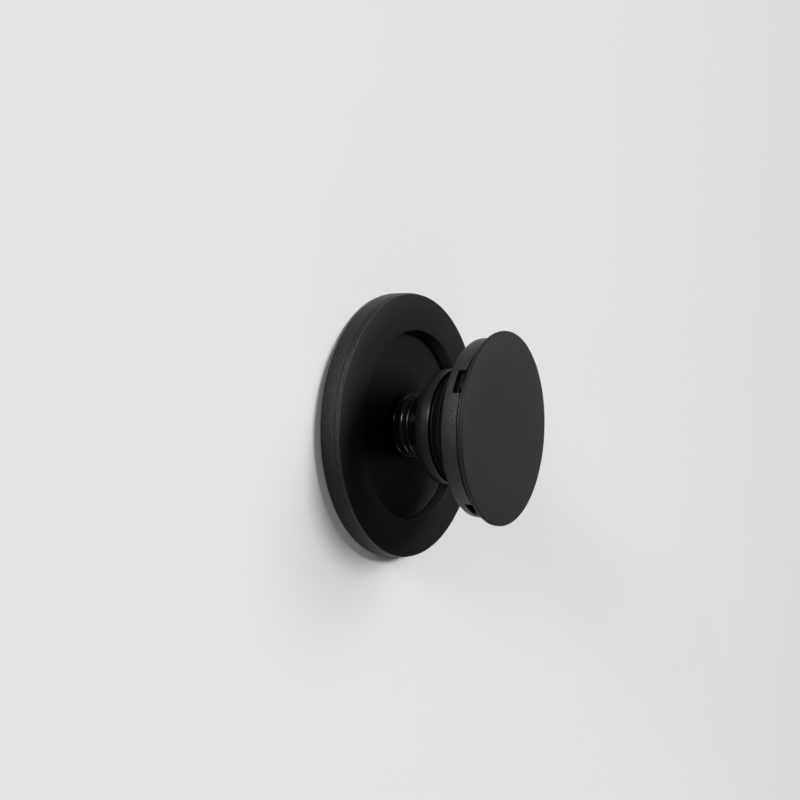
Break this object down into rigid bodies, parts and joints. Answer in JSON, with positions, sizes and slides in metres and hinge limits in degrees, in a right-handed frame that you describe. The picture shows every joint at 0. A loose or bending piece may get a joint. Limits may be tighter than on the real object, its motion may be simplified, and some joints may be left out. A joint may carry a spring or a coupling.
{
  "type": "collapsible phone grip",
  "caption": "Round phone grip pulled out for holding: a recessed magnetic base, a soft folding accordion neck and a thin round button that slides down flat.",
  "frame": {"origin": "centre of the pad's contact face, where the grip meets the phone", "axes": "+Z along the grip's axis from the base to the button; a window of the collar faces +X"},
  "size_m": [0.058, 0.058, 0.0265],
  "materials": {
    "pad_soft": "dull, slightly tacky",
    "cover_plastic": "matte",
    "base_plastic": "fine moulded grain",
    "magnet_plating": "nickel plated",
    "yoke_steel": "bare sheet",
    "accordion_soft": "glossy moulded",
    "collar_plastic": "fine moulded grain",
    "plate_plastic": "fine matte"
  },
  "bodies": {
    "base": {"phone_pad": "pad_soft", "back_cover": "cover_plastic", "base_shell": "base_plastic", "ring_magnets": "magnet_plating", "magnet_yoke": "yoke_steel", "accordion": "accordion_soft"},
    "button": {"button_collar": "collar_plastic", "top_plate": "plate_plastic"}
  },
  "joints": [
    {"name": "collapse", "type": "slide", "parent": "base", "child": "button", "axis": [0, 0, 1], "range_m": [-0.0188, 0], "deforming": ["accordion"]}
  ]
}
